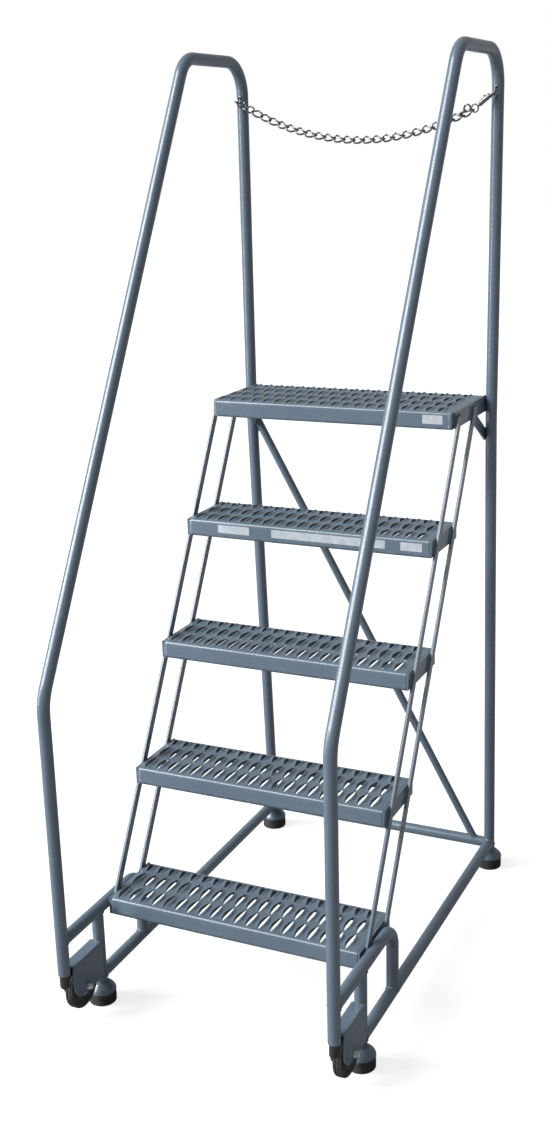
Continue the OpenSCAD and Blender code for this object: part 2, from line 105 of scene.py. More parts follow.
def rotation_minimal(points, closed):
    """Cross-section axes carried along a line of points without twisting."""
    count = len(points)
    tangents = []
    for i in range(count):
        before = points[i - 1] if closed or i else points[0]
        after = points[(i + 1) % count] if closed or i < count - 1 else points[-1]
        tangents.append((after - before).normalized())
    side = tangents[0].cross(Z)
    if side.length < 0.2:
        side = tangents[0].cross(X)
    side.normalize()
    frames = []
    for i, tangent in enumerate(tangents):
        if i:
            side = tangents[i - 1].rotation_difference(tangent) @ side
        side = (side - side.dot(tangent) * tangent).normalized()
        frames.append((side, tangent.cross(side)))
    return frames


def sweep(bm, points, radius, sides=12, closed=False):
    """Adds a round bar along points; radius may be a function of the index."""
    frames = rotation_minimal(points, closed)
    rings = []
    for i, (point, (a, b)) in enumerate(zip(points, frames)):
        r = radius(i) if callable(radius) else radius
        rings.append([
            bm.verts.new(point + r * (math.cos(t) * a + math.sin(t) * b))
            for t in (2 * math.pi * k / sides for k in range(sides))
        ])
    pairs = list(zip(rings, rings[1:]))
    if closed:
        # the last ring meets the first where their corners lie nearest
        shift = min(range(sides), key=lambda s: (rings[-1][0].co - rings[0][s].co).length)
        pairs.append((rings[-1], rings[0][shift:] + rings[0][:shift]))
    for low, high in pairs:
        for k in range(sides):
            n = (k + 1) % sides
            bm.faces.new((low[k], low[n], high[n], high[k]))
    if not closed:
        bm.faces.new(reversed(rings[0]))
        bm.faces.new(rings[-1])


def revolve(bm, profile, origin, axis, segments=48, closed=False):
    """Adds a turned shape; profile is (radius, height along the axis)."""
    axis = Vector(axis).normalized()
    side = axis.orthogonal().normalized()
    other = axis.cross(side)
    rings = []
    for r, h in profile:
        centre = origin + h * axis
        if r < 1e-7:
            rings.append([bm.verts.new(centre)])
            continue
        rings.append([
            bm.verts.new(centre + r * (math.cos(t) * side + math.sin(t) * other))
            for t in (2 * math.pi * k / segments for k in range(segments))
        ])
    pairs = list(zip(rings, rings[1:]))
    if closed:
        pairs.append((rings[-1], rings[0]))
    for low, high in pairs:
        for k in range(segments):
            n = (k + 1) % segments
            corners = [low[k % len(low)], low[n % len(low)], high[n % len(high)], high[k % len(high)]]
            # a ring of one point, on the axis, gives triangles
            unique = list(dict.fromkeys(corners))
            if len(unique) > 2:
                bm.faces.new(unique)


def rounded_profile(points, radius, steps=4):
    """Rounds the inner corners of an open (radius, height) profile."""
    out = [points[0]]
    for before, here, after in zip(points, points[1:], points[2:]):
        p, q, s = Vector(before), Vector(here), Vector(after)
        r = min(radius, (p - q).length * 0.45, (s - q).length * 0.45)
        start, end = q + (p - q).normalized() * r, q + (s - q).normalized() * r
        for i in range(steps + 1):
            t = i / steps
            out.append(tuple((1 - t) ** 2 * start + 2 * t * (1 - t) * q + t * t * end))
    out.append(points[-1])
    return out


def outer_corner(r, h, radius, steps):
    """Quarter round from the low face out to the side that meet at (r, h)."""
    points = []
    for i in range(steps + 1):
        t = math.radians(90 * i / steps)
        points.append((r - radius + radius * math.sin(t), h + radius - radius * math.cos(t)))
    return points


def slab(bm, corners, thickness, origin, along, up):
    """Adds a flat bar: corners in the along-up plane, thick to both sides."""
    normal = along.cross(up)
    faces = []
    for side in (-0.5, 0.5):
        faces.append([
            bm.verts.new(origin + a * along + u * up + side * thickness * normal) for a, u in corners
        ])
    bm.faces.new(reversed(faces[0]))
    bm.faces.new(faces[1])
    count = len(corners)
    for i in range(count):
        n = (i + 1) % count
        bm.faces.new((faces[0][i], faces[0][n], faces[1][n], faces[1][i]))


# -------------------------------------------------------------- materials

def new_material(name):
    material = bpy.data.materials.new(name)
    material.use_nodes = True
    tree = material.node_tree
    return material, tree, tree.nodes["Principled BSDF"]


def noise(tree, scale, detail=3.0):
    coords = tree.nodes.new("ShaderNodeTexCoord")
    node = tree.nodes.new("ShaderNodeTexNoise")
    node.inputs["Scale"].default_value = scale
    node.inputs["Detail"].default_value = detail
    node.inputs["Roughness"].default_value = 0.55
    tree.links.new(coords.outputs["Object"], node.inputs["Vector"])
    return node.outputs["Fac"]


def remap(tree, value, low, high, out_low, out_high):
    node = tree.nodes.new("ShaderNodeMapRange")
    for key, number in (("From Min", low), ("From Max", high), ("To Min", out_low), ("To Max", out_high)):
        node.inputs[key].default_value = number
    tree.links.new(value, node.inputs["Value"])
    return node.outputs["Result"]


def mix(tree, factor, first, second):
    node = tree.nodes.new("ShaderNodeMix")
    node.data_type = "RGBA"
    tree.links.new(factor, node.inputs["Factor"])
    for value, key in ((first, "A"), (second, "B")):
        socket = [s for s in node.inputs if s.name == key and s.type == "RGBA"][0]
        if isinstance(value, tuple):
            socket.default_value = (*value, 1)
        else:
            tree.links.new(value, socket)
    return [s for s in node.outputs if s.type == "RGBA"][0]


def times(tree, a, b):
    node = tree.nodes.new("ShaderNodeMath")
    node.operation = "MULTIPLY"
    tree.links.new(a, node.inputs[0])
    tree.links.new(b, node.inputs[1])
    return node.outputs["Value"]


def edge_mask(tree):
    """Near 1 on outer edges, broken up by noise."""
    geometry = tree.nodes.new("ShaderNodeNewGeometry")
    edges = remap(tree, geometry.outputs["Pointiness"], 0.515, 0.56, 0, 1)
    return times(tree, edges, remap(tree, noise(tree, 90), 0.42, 0.62, 0, 1))


def bump(tree, shader, height, strength, distance):
    node = tree.nodes.new("ShaderNodeBump")
    node.inputs["Strength"].default_value = strength
    node.inputs["Distance"].default_value = distance
    tree.links.new(height, node.inputs["Height"])
    tree.links.new(node.outputs["Normal"], shader.inputs["Normal"])


def painted(name, dark, light, worn, rough=(0.27, 0.38), edges=True):
    """Baked enamel: slow and fine tone changes, orange peel, and worn edges or else scuffs."""
    material, tree, shader = new_material(name)
    tone = mix(tree, remap(tree, noise(tree, 9.0), 0.3, 0.7, 0, 1), dark, light)
    grain = mix(tree, remap(tree, noise(tree, 260.0, 2.0), 0.3, 0.7, 0, 0.2), tone, worn)
    if edges:
        wear = times(tree, edge_mask(tree), remap(tree, noise(tree, 30), 0, 1, 0.3, 0.9))
    else:
        wear = remap(tree, noise(tree, 55.0, 5.0), 0.66, 0.72, 0, 0.3)
    colour = mix(tree, wear, grain, worn)
    tree.links.new(colour, shader.inputs["Base Color"])
    tree.links.new(remap(tree, noise(tree, 35.0), 0.3, 0.7, *rough), shader.inputs["Roughness"])
    shader.inputs["Specular IOR Level"].default_value = 0.5
    shader.inputs["Coat Weight"].default_value = 0.22
    shader.inputs["Coat Roughness"].default_value = 0.10
    bump(tree, shader, noise(tree, 420.0, 2.0), 0.12, 0.0004)
    return material


def metal(name, dark, light, rough, scale=300.0):
    """Zinc plated steel: cloudy plating with fine grain."""
    material, tree, shader = new_material(name)
    clouds = mix(tree, remap(tree, noise(tree, scale), 0.35, 0.65, 0, 1), dark, light)
    tree.links.new(clouds, shader.inputs["Base Color"])
    shader.inputs["Metallic"].default_value = 1.0
    tree.links.new(remap(tree, noise(tree, scale * 2), 0.3, 0.7, *rough), shader.inputs["Roughness"])
    bump(tree, shader, noise(tree, scale * 6), 0.08, 0.0002)
    return material


def rubber(name, dark, light, rough=(0.62, 0.85)):
    """Moulded rubber: dusty tone changes and a fine matt grain."""
    material, tree, shader = new_material(name)
    tone = mix(tree, remap(tree, noise(tree, 40.0, 5.0), 0.35, 0.7, 0, 1), dark, light)
    colour = mix(tree, edge_mask(tree), tone, tuple(c * 1.5 + 0.008 for c in light))
    tree.links.new(colour, shader.inputs["Base Color"])
    tree.links.new(remap(tree, noise(tree, 120.0), 0.3, 0.7, *rough), shader.inputs["Roughness"])
    bump(tree, shader, noise(tree, 900.0, 4.0), 0.25, 0.0004)
    return material


def plastic(name, dark, light):
    """Printed film: nearly even, with faint mottling."""
    material, tree, shader = new_material(name)
    tone = mix(tree, remap(tree, noise(tree, 60.0), 0.3, 0.7, 0, 1), dark, light)
    tree.links.new(tone, shader.inputs["Base Color"])
    tree.links.new(remap(tree, noise(tree, 200.0), 0.3, 0.7, 0.35, 0.5), shader.inputs["Roughness"])
    bump(tree, shader, noise(tree, 500.0), 0.05, 0.0002)
    return material


WORN_EDGE = (0.150, 0.195, 0.240)
paint = painted("blue_grey_enamel", (0.070, 0.101, 0.137), (0.080, 0.114, 0.152), WORN_EDGE)
tube_paint = painted("tube_enamel", (0.066, 0.096, 0.131), (0.076, 0.109, 0.146), WORN_EDGE, edges=False)
# painted shade: a dark enamel tone stands in for the shade on the slits' walls and on the sheet's underside
slit_painted_shade = painted(
    "painted_shade_in_slits_and_underside", (0.022, 0.031, 0.042), (0.034, 0.047, 0.062), (0.080, 0.105, 0.130), (0.4, 0.6)
)
weld_paint = painted(
    "enamel_on_welds", (0.062, 0.088, 0.118), (0.082, 0.112, 0.146), (0.140, 0.182, 0.222), (0.35, 0.5)
)
zinc = metal("zinc_plate", (0.42, 0.43, 0.44), (0.70, 0.71, 0.72), (0.22, 0.42))
chain_zinc = metal("zinc_chain", (0.08, 0.084, 0.09), (0.24, 0.25, 0.26), (0.22, 0.38))
black_rubber = rubber("black_rubber", (0.007, 0.007, 0.008), (0.018, 0.018, 0.019))
tyre_rubber = rubber("tyre_rubber", (0.008, 0.008, 0.009), (0.020, 0.020, 0.021), (0.6, 0.85))
label_film = plastic("blank_label_film", (0.30, 0.335, 0.38), (0.40, 0.43, 0.48))


# ------------------------------------------------------------- positions

tube_r = (box("right_foot_post")[1].x - box("right_foot_post")[0].x) / 2
side_x = middle("right_foot_post").x
foot_y = middle("right_foot_post").y
leg_y = box("left_handrail")[0].y + tube_r
rail_z = middle("rear_cross_bar").z
cross_y = middle("rear_cross_bar").y
hoop_z = box("left_step_hoop")[1].z - tube_r
hoop_y = box("left_step_hoop")[1].y - tube_r
# the front legs' open lower ends
LEG_END_Z = 0.148
# the rear posts lean back by POST_SPLAY between their kink and the floor
KINK_Z = 1.2
POST_SPLAY = 0.068
post_y = cross_y - (KINK_Z - rail_z) * POST_SPLAY / KINK_Z
post_top = Vector((0, post_y, KINK_Z))
post_dir = (post_top - Vector((0, cross_y, rail_z))).normalized()


def at_side(side, y, z):
    return Vector((SIDES[side] * side_x, y, z))


# ------------------------------------------------- carried-over CAD nodes

def keep(node, material, edge=0.0):
    """Gives a CAD node its material, and small round edges where edge isn't 0."""
    piece = frame["nodes"][node]
    for slot in piece.material_slots:
        slot.material = material
    if not piece.material_slots:
        piece.data.materials.append(material)
    if edge:
        bevel(piece, edge)


for side in SIDES:
    for part in ("handrail", "base_rail", "step_hoop", "foot_post"):
        keep(f"{side}_{part}", tube_paint)
    for part in ("platform_gusset", "front_stringer", "rear_stringer"):
        keep(f"{side}_{part}", tube_paint, edge=0.0007)
    keep(f"{side}_wheel_bracket", tube_paint, edge=0.0004)
for part in ("rear_cross_bar", "rear_diagonal_brace"):
    keep(part, tube_paint)
for step in STEPS:
    keep(f"{step}_end_plates", tube_paint, edge=0.0007)
for part in ("snap_hook_body", "snap_hook_ring", "snap_hook_bolt"):
    keep(part, chain_zinc)


# --------------------------------------------------------------- gratings

# one bent sheet; OPEN_ is the openings' size, LIP_ and TOOTH_ their raised toothed left edge,
# RIDGE_ and WALL_ their right edge, which rises a little and then turns down
SHEET = 0.002
PLANK_BEND = 0.006
BEND_STEPS = 5
TOP_STEP = 0.0018
OPEN_PITCH_X = 0.0286
OPEN_PITCH_Y = 0.0635
OPEN_LENGTH = 0.060
OPEN_HALF = 0.0068
OPEN_MARGIN = 0.008
END_MARGIN = 0.012
PLATFORM_FIRST = 0.011
LIP_UP = 0.0038
LIP_WIDE = 0.006
WALL_DOWN = 0.0072
WALL_BEND = 0.0028
RIDGE_UP = 0.0022
RIDGE_WIDE = 0.005
WALL_CELLS = 4
TOOTH = 0.0072
TOOTH_UP = 0.0014
LENS_POWER = 1.85
LENS_FADE = 0.004
LIP_POWER = 1.7
END_GAP = 0.0011


def plank_profile(depth, height):
    """Points down the rear flange, over the top and down the front flange."""
    line = []
    for i in range(BEND_STEPS):
        line.append((depth, -height + i * (height - PLANK_BEND) / BEND_STEPS))
    for i in range(BEND_STEPS):
        t = math.radians(90 * i / BEND_STEPS)
        y = depth - PLANK_BEND + PLANK_BEND * math.cos(t)
        line.append((y, -PLANK_BEND + PLANK_BEND * math.sin(t)))
    flat = depth - 2 * PLANK_BEND
    count = round(flat / TOP_STEP)
    for i in range(count + 1):
        line.append((depth - PLANK_BEND - flat * i / count, 0.0))
    for i in range(1, BEND_STEPS + 1):
        t = math.radians(90 + 90 * i / BEND_STEPS)
        line.append((PLANK_BEND + PLANK_BEND * math.cos(t), -PLANK_BEND + PLANK_BEND * math.sin(t)))
    for i in range(1, BEND_STEPS + 1):
        line.append((0.0, -PLANK_BEND - i * (height - PLANK_BEND) / BEND_STEPS))
    return line


def lens(v, depth):
    """How open the grating is, from 0 to 1, at distance v from the plank's front."""
    row = math.floor((v - OPEN_MARGIN) / OPEN_PITCH_Y)
    if row < 0 or v > depth - OPEN_MARGIN:
        return 0.0
    t = (v - OPEN_MARGIN - row * OPEN_PITCH_Y) / OPEN_LENGTH
    if t > 1:
        return 0.0
    shape = 1 - abs(2 * t - 1) ** LENS_POWER
    return max(0.0, min(shape, (depth - OPEN_MARGIN - v) / LENS_FADE))


def tooth(v):
    """Height of the lip's teeth, from 0 to 1."""
    phase = (v / TOOTH) % 1.0
    return 0.5 + 0.5 * math.cos(2 * math.pi * phase)


def strip_row(start, end, wide, v, lip, wall):
    """Points across one strip: a toothed raised left edge, a flat, and a right edge turned down."""
    points = []
    left = start
    if lip:
        left = start + LIP_WIDE
        for u in (0.0, 0.35, 0.7):
            rise = LIP_UP + (TOOTH_UP * tooth(v) if u == 0.0 else 0.0)
            points.append((start + LIP_WIDE * u, wide * rise * (1 - u) ** LIP_POWER))
    right = end - (WALL_BEND if wall else 0.0)
    ridge = wide * RIDGE_UP if wall else 0.0
    points += [(left, 0.0), (right - RIDGE_WIDE, 0.0), (right - RIDGE_WIDE / 2, ridge / 2), (right, ridge)]
    if wall:
        for degrees in (30, 60, 90):
            t = math.radians(degrees)
            points.append((right + WALL_BEND * math.sin(t), ridge - wide * WALL_BEND * (1 - math.cos(t))))
        for u in (0.5, 1.0):
            points.append((end, ridge - wide * (WALL_BEND + (WALL_DOWN - WALL_BEND) * u)))
    return points


def grating(step, first_x):
    """A channel plank with pointed openings, as strips that run from flange to flange."""
    low, high = box(f"{step}_grating")
    # the sheet is welded to the end plates, so it closes the gap to them
    low.x -= END_GAP
    high.x += END_GAP
    depth = high.y - low.y
    height = high.z - low.z
    columns = int((high.x - END_MARGIN - first_x) / OPEN_PITCH_X) + 1
    borders = [None] + [first_x + OPEN_PITCH_X * i for i in range(columns)] + [None]
    bm = bmesh.new()
    line = plank_profile(depth, height)
    for left, right in zip(borders, borders[1:]):
        rows = []
        for v, drop in line:
            wide = lens(v, depth) if drop == 0.0 else 0.0
            start = low.x if left is None else left + OPEN_HALF * wide
            end = high.x if right is None else right - OPEN_HALF * wide
            points = strip_row(start, end, wide, v, left is not None, right is not None)
            rows.append([bm.verts.new((x, low.y + v, high.z + drop + z)) for x, z in points])
        wall_from = len(rows[0]) - WALL_CELLS - 1 if right is not None else len(rows[0])
        for behind, before in zip(rows, rows[1:]):
            for i in range(len(behind) - 1):
                face = bm.faces.new((before[i], before[i + 1], behind[i + 1], behind[i]))
                # the wall gets the painted shade only where the opening has some width
                near_end = behind[i + 1].co.z < behind[-1].co.z + WALL_DOWN
                cut = near_end and behind[-1].co.z < behind[0].co.z - 0.001
                face.material_index = 1 if i >= wall_from and cut else 0
    bmesh.ops.remove_doubles(bm, verts=bm.verts, dist=1e-6)
    piece = add_piece(f"{step}_grating_plank", bm, paint, smooth=50, recalc=False)
    # the second slot carries the painted shade; the solidify's material offset also gives it to the sheet's
    # underside
    piece.data.materials.append(slit_painted_shade)
    solid = piece.modifiers.new("sheet thickness", "SOLIDIFY")
    solid.thickness = SHEET
    solid.offset = -1
    solid.material_offset = 1
    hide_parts(f"{step}_grating")


for step in STEPS:
    first = PLATFORM_FIRST if step == "platform" else OPEN_PITCH_X / 2
    grating(step, box(f"{step}_grating")[0].x + first)


def platform_flange_corners():
    """The platform's front flange runs round both corners, back to the end plates."""
    low, high = box("platform_grating")
    end_plate_front = box("platform_end_plates")[0].y
    tip = high.x + END_GAP
    corner_r = 0.006
    # the corner stands a hair in front of the flange that it overlaps
    front = low.y - 0.00015
    outer = [(tip - corner_r - SHEET, front), *outer_corner(tip, front, corner_r, 6)]
    outer.append((tip, end_plate_front + 0.001))
    inner = [(x - SHEET, y + (SHEET if y < front + corner_r / 2 else 0)) for x, y in outer]
    bm = bmesh.new()
    for sign in (-1, 1):
        rings = []
        for z in (low.z, high.z - PLANK_BEND / 2):
            rings.append([bm.verts.new((sign * x, y, z)) for x, y in outer + inner[::-1]])
        count = len(rings[0])
        for i in range(count):
            n = (i + 1) % count
            bm.faces.new((rings[0][i], rings[0][n], rings[1][n], rings[1][i]))
        for ring in rings:
            for i in range(len(outer) - 1):
                bm.faces.new((ring[i], ring[i + 1], ring[count - 2 - i], ring[count - 1 - i]))
    add_piece("platform_flange_corners", bm, paint, smooth=50)


platform_flange_corners()


# ------------------------------------------------------------------ welds

def cylinder_joint(point, direction, r_branch, main_point, main_dir, r_main, count=56):
    """Closed line where a round branch meets the outside of a round main."""
    a = direction.normalized()
    side = a.orthogonal().normalized()
    other = a.cross(side)
    line = []
    for k in range(count):
        t = 2 * math.pi * k / count
        start = point + r_branch * (math.cos(t) * side + math.sin(t) * other)
        offset = start - main_point
        offset -= offset.dot(main_dir) * main_dir
        flat = a - a.dot(main_dir) * main_dir
        b = offset.dot(flat)
        c = offset.dot(offset) - r_main ** 2
        root = max(0.0, b * b - flat.dot(flat) * c)
        line.append(start + a * (-b + math.sqrt(root)) / flat.dot(flat))
    return line


# slope and half width of the stringers, and where a gusset meets its post
CLIMB = math.radians(60)
STRINGER_HALF = 0.0095
GUSSET_WELD_Z = (1.152, 1.178)
# the brace's tube, its foot on the cross bar, and the height where its axis meets the post's
BRACE_R = 0.0095
BRACE_FOOT_X = 0.274
BRACE_TOP_Z = 1.198
BEAD_THIN = 0.0018
weld_random = random.Random(7)


def bead(bm, points, radius=0.0024, closed=True):
    """A rippled weld bead along a line of points."""
    phase = weld_random.uniform(0, 6)
    count = len(points)
    ripple = [1 + 0.10 * math.sin(2.1 * i + phase) + weld_random.uniform(-0.07, 0.07) for i in range(count)]

    def size(i):
        ends = 1.0 if closed else min(1.0, 0.35 + min(i, count - 1 - i) * 0.35)
        return radius * ripple[i] * ends

    sweep(bm, points, size, sides=8, closed=closed)


def straight(p, q, count=None):
    """Evenly spaced points from p to q."""
    count = count or max(4, round((q - p).length / 0.0022))
    return [p + (q - p) * i / count for i in range(count + 1)]


def ring_line(centre, axis, radius, count=48):
    """Points round a circle square to the axis."""
    side = axis.orthogonal().normalized()
    other = axis.cross(side)
    return [
        centre + radius * (math.cos(t) * side + math.sin(t) * other)
        for t in (2 * math.pi * k / count for k in range(count))
    ]


def frame_welds(side, sign):
    """Where the tubes of one side meet."""
    bm = bmesh.new()
    post_at = at_side(side, post_y, KINK_Z)
    foot_post = at_side(side, foot_y, 0)
    leg = at_side(side, leg_y, 0)
    rail_rear = at_side(side, cross_y, rail_z)
    hoop_foot = at_side(side, hoop_y, rail_z)
    bead(bm, cylinder_joint(at_side(side, foot_y, rail_z), Y, tube_r, foot_post, Z, tube_r))
    bead(bm, cylinder_joint(rail_rear, -Y, tube_r, post_at, post_dir, tube_r))
    bead(bm, cylinder_joint(at_side(side, leg_y, hoop_z), Y, tube_r, leg, Z, tube_r))
    bead(bm, cylinder_joint(hoop_foot, Z, tube_r, hoop_foot, Y, tube_r))
    bead(bm, cylinder_joint(at_side(side, foot_y, hoop_z), -Z, tube_r, at_side(side, 0, hoop_z), Y, tube_r))
    bead(bm, cylinder_joint(rail_rear, -sign * X, tube_r, post_at, post_dir, tube_r))
    add_piece(f"{side}_frame_welds", bm, weld_paint)


def bracket_welds(side):
    """Upright beads at the four edges of one wheel bracket's side walls."""
    half_wall = 0.0015
    bm = bmesh.new()
    low, high = box(f"{side}_wheel_bracket")
    for x in (low.x + half_wall, high.x - half_wall):
        for y in (low.y, high.y):
            foot = Vector((x, y, low.z + 0.03))
            head = Vector((x, y, high.z - 0.003))
            bead(bm, straight(foot, head), BEAD_THIN, closed=False)
    add_piece(f"{side}_bracket_welds", bm, weld_paint)


def platform_welds(side, sign):
    """Upright beads that hold one end plate and one gusset to the rear post."""
    bm = bmesh.new()
    gusset_low, gusset_high = box(f"{side}_platform_gusset")
    plates_low, plates_high = box("platform_end_plates")
    x = (gusset_low.x + gusset_high.x) / 2 - sign * 0.002
    y = plates_high.y + 0.0022
    for z0, z1 in ((plates_low.z, plates_high.z), GUSSET_WELD_Z):
        bead(bm, straight(Vector((x, y, z0)), Vector((x, y, z1))), 0.0022, closed=False)
    add_piece(f"{side}_platform_welds", bm, weld_paint)


def stringer_welds(step):
    """Sloping beads along both edges of each stringer, where it crosses the step's end plates."""
    bm = bmesh.new()
    low, high = box(f"{step}_end_plates")
    middle_z = (low.z + high.z) / 2
    slope = Vector((0, math.cos(CLIMB), math.sin(CLIMB)))
    half_width = STRINGER_HALF / math.sin(CLIMB)
    reach = (high.z - low.z) / 2 / math.sin(CLIMB)
    for side, sign in SIDES.items():
        outer = high.x if sign > 0 else low.x
        for back in ("front", "rear"):
            bar = middle(f"{side}_{back}_stringer")
            centre_y = bar.y + (middle_z - bar.z) / math.tan(CLIMB)
            for edge in (-half_width, half_width):
                centre = Vector((outer + sign * 0.0003, centre_y + edge, middle_z))
                above = 0.4 if step == "platform" else 0.92
                foot = centre - slope * reach * 0.92
                head = centre + slope * reach * above
                bead(bm, straight(foot, head), BEAD_THIN, closed=False)
    add_piece(f"{step}_welds", bm, weld_paint)


def brace_welds():
    """Round the brace's foot on the cross bar, and round its head on the left gusset."""
    bm = bmesh.new()
    foot = Vector((BRACE_FOOT_X, cross_y, rail_z))
    top_y = post_y + (KINK_Z - BRACE_TOP_Z) * (cross_y - post_y) / (KINK_Z - rail_z)
    along = (Vector((-side_x, top_y, BRACE_TOP_Z)) - foot).normalized()
    bead(bm, cylinder_joint(foot, along, BRACE_R, foot, X, tube_r), 0.002)
    # the head is cut flat on the gusset, so its weld is an ellipse in that plane
    head_x = box("rear_diagonal_brace")[0].x + 0.0004
    head_line = []
    for point in ring_line(foot, along, BRACE_R + 0.0004):
        head_line.append(point + along * (head_x - point.x) / along.x)
    bead(bm, head_line, 0.002)
    add_piece("brace_welds", bm, weld_paint)


for side, sign in SIDES.items():
    frame_welds(side, sign)
    bracket_welds(side)
    platform_welds(side, sign)
for step in STEPS:
    stringer_welds(step)
brace_welds()


# ------------------------------------------------------------------- feet

# the grooves round a pad's side
GROOVES = 4
GROOVE_PITCH = 0.0046
GROOVE_FIRST = 0.0055
GROOVE_DEEP = 0.0009


def foot_pad(corner):
    """A rubber pad with grooves round its side and a plug that goes up into the cup."""
    low, high = box(f"{corner}_foot_pad")
    centre = Vector(((low.x + high.x) / 2, (low.y + high.y) / 2, low.z))
    r = (high.x - low.x) / 2
    shoulder = box(f"{corner}_foot_cup")[0].z - 0.0004
    rim = 0.0018
    profile = [(0, 0.0006), (r * 0.55, 0.0006), (r * 0.62, 0.0), (r - rim, 0.0)]
    profile += outer_corner(r, 0, rim, 4)
    for i in range(GROOVES):
        z = GROOVE_FIRST + i * GROOVE_PITCH
        floor_r = r - GROOVE_DEEP
        profile += [(r, z), (floor_r, z + 0.0005), (floor_r, z + 0.0013), (r, z + 0.0018)]
    plug_r = r - 0.004
    profile += [(r, shoulder - 0.001), (r - 0.001, shoulder)]
    profile += [(plug_r, shoulder + 0.0006), (plug_r, high.z), (0, high.z)]
    bm = bmesh.new()
    revolve(bm, profile, centre, Z, 72)
    pad = add_piece(f"{corner}_foot_pad_rubber", bm, black_rubber)
    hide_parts(f"{corner}_foot_pad")


def foot_cup(corner):
    """A bell-shaped steel cup round the tube's end, and the weld above it."""
    low, high = box(f"{corner}_foot_cup")
    centre = (low + high) / 2
    base = Vector((centre.x, centre.y, low.z))
    r = (high.x - low.x) / 2
    top = high.z - low.z
    neck = tube_r + 0.0007
    lip = r - 0.002
    outer = [(lip, 0), (r, 0), (r, 0.004), (0.0285, 0.0098), (0.0175, top), (neck, top)]
    inner = [(neck, top - 0.005), (0.0165, top - 0.005), (0.0267, 0.0075), (lip, 0.0028), (lip, 0)]
    profile = rounded_profile(outer, 0.003) + rounded_profile(inner, 0.002)[:-1]
    bm = bmesh.new()
    revolve(bm, profile, base, Z, 72, closed=True)
    cup = add_piece(f"{corner}_foot_cup_steel", bm, paint)
    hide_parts(f"{corner}_foot_cup")
    bm = bmesh.new()
    neck_ring = ring_line(Vector((centre.x, centre.y, high.z + 0.0003)), Z, tube_r + 0.0012)
    bead(bm, neck_ring, BEAD_THIN)
    add_piece(f"{corner}_foot_weld", bm, weld_paint)


def leg_tip(side):
    """A rubber tip whose plug goes up into the front leg's open end."""
    low, high = box(f"{side}_leg_tip")
    centre = Vector(((low.x + high.x) / 2, (low.y + high.y) / 2, low.z))
    r = (high.x - low.x) / 2
    rim = LEG_END_Z - low.z
    top = high.z - low.z
    plug_r = tube_r - 0.003
    profile = [(0, 0), *outer_corner(r, 0, 0.007, 6)]
    profile += [(r - 0.0002, rim - 0.004), (r, rim - 0.0025), (r, rim - 0.0004), (r - 0.0008, rim)]
    profile += [(plug_r, rim), (plug_r, top), (0, top)]
    bm = bmesh.new()
    revolve(bm, profile, centre, Z, 56)
    tip = add_piece(f"{side}_leg_tip_rubber", bm, black_rubber)
    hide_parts(f"{side}_leg_tip")


for corner in CORNERS:
    foot_pad(corner)
    foot_cup(corner)
for side in SIDES:
    leg_tip(side)


# ----------------------------------------------------------------- wheels

# the axle bolt and nut; the thread starts this far beyond the bracket
HEXAGON_R = 0.009
SHANK_R = 0.0048
THREAD_START = 0.0085
THREAD_PITCH = 0.00125
THREAD_HALF = 0.00062
THREAD_DEEP = 0.0006


def hexagon(bm, centre, axis, radius, height):
    """A hexagon head with its outer corners turned off."""
    chamfer = 0.0009
    points = 48
    side = Z if abs(axis.dot(Z)) < 0.9 else X
    other = axis.cross(side)
    rings = []
    for h, k in ((0.0, 1.0), (height - chamfer, 1.0), (height, 0.9)):
        ring = []
        for i in range(points):
            t = 2 * math.pi * i / points
            sector = (t + math.pi / 6) % (math.pi / 3) - math.pi / 6
            flat = radius * math.cos(math.pi / 6) / math.cos(sector)
            r = flat if k == 1.0 else min(flat, radius * k)
            ring.append(bm.verts.new(centre + h * axis + r * (math.cos(t) * side + math.sin(t) * other)))
        rings.append(ring)
    for low, high in zip(rings, rings[1:]):
        for i in range(points):
            n = (i + 1) % points
            bm.faces.new((low[i], low[n], high[n], high[i]))
    bm.faces.new(reversed(rings[0]))
    bm.faces.new(rings[-1])


def mirrored(profile):
    """The other half of a turned profile: the same points, mirrored across the wheel's middle."""
    return [(r, -h) for r, h in reversed(profile)]


def tyre(side, axle):
    """A rubber tyre with a shallow ring in each face and two grooves in its tread."""
    low, high = box(f"{side}_wheel_tyre")
    r = (high.z - low.z) / 2
    face = -(high.x - low.x) / 2
    bead_r = 0.0241
    half = [(bead_r, face + 0.0015), (bead_r + 0.004, face), (0.0335, face)]
    half += [(0.0350, face + 0.0014), (0.0372, face + 0.0014), (0.0388, face)]
    half += outer_corner(r, face, 0.005, 6)
    tread = []
    groove_r = r - 0.0011
    for x in (-0.0035, 0.0035):
        tread += [(r, x - 0.0011), (groove_r, x - 0.0006), (groove_r, x + 0.0006), (r, x + 0.0011)]
    bm = bmesh.new()
    revolve(bm, half + tread + mirrored(half), axle, X, 96, closed=True)
    piece = add_piece(f"{side}_wheel_tyre_tread", bm, tyre_rubber, body=f"{side}_wheel")
    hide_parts(f"{side}_wheel_tyre")


def wheel_hub(side, axle):
    """A hub with a bored boss, a thin web and a rim that carries the tyre."""
    low, high = box(f"{side}_wheel_hub")
    bore = 0.00485
    boss = (low.x - high.x) / 2
    half = [(bore, boss), (0.0092, boss), (0.0100, boss + 0.0008), (0.0100, -0.0095), (0.0115, -0.0070)]
    half += [(0.0180, -0.0062), (0.0205, -0.0090), (0.0232, -0.0095), (0.0238, -0.0088)]
    bm = bmesh.new()
    revolve(bm, half + mirrored(half), axle, X, 72, closed=True)
    piece = add_piece(f"{side}_wheel_hub_turned", bm, zinc, body=f"{side}_wheel")
    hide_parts(f"{side}_wheel_hub")


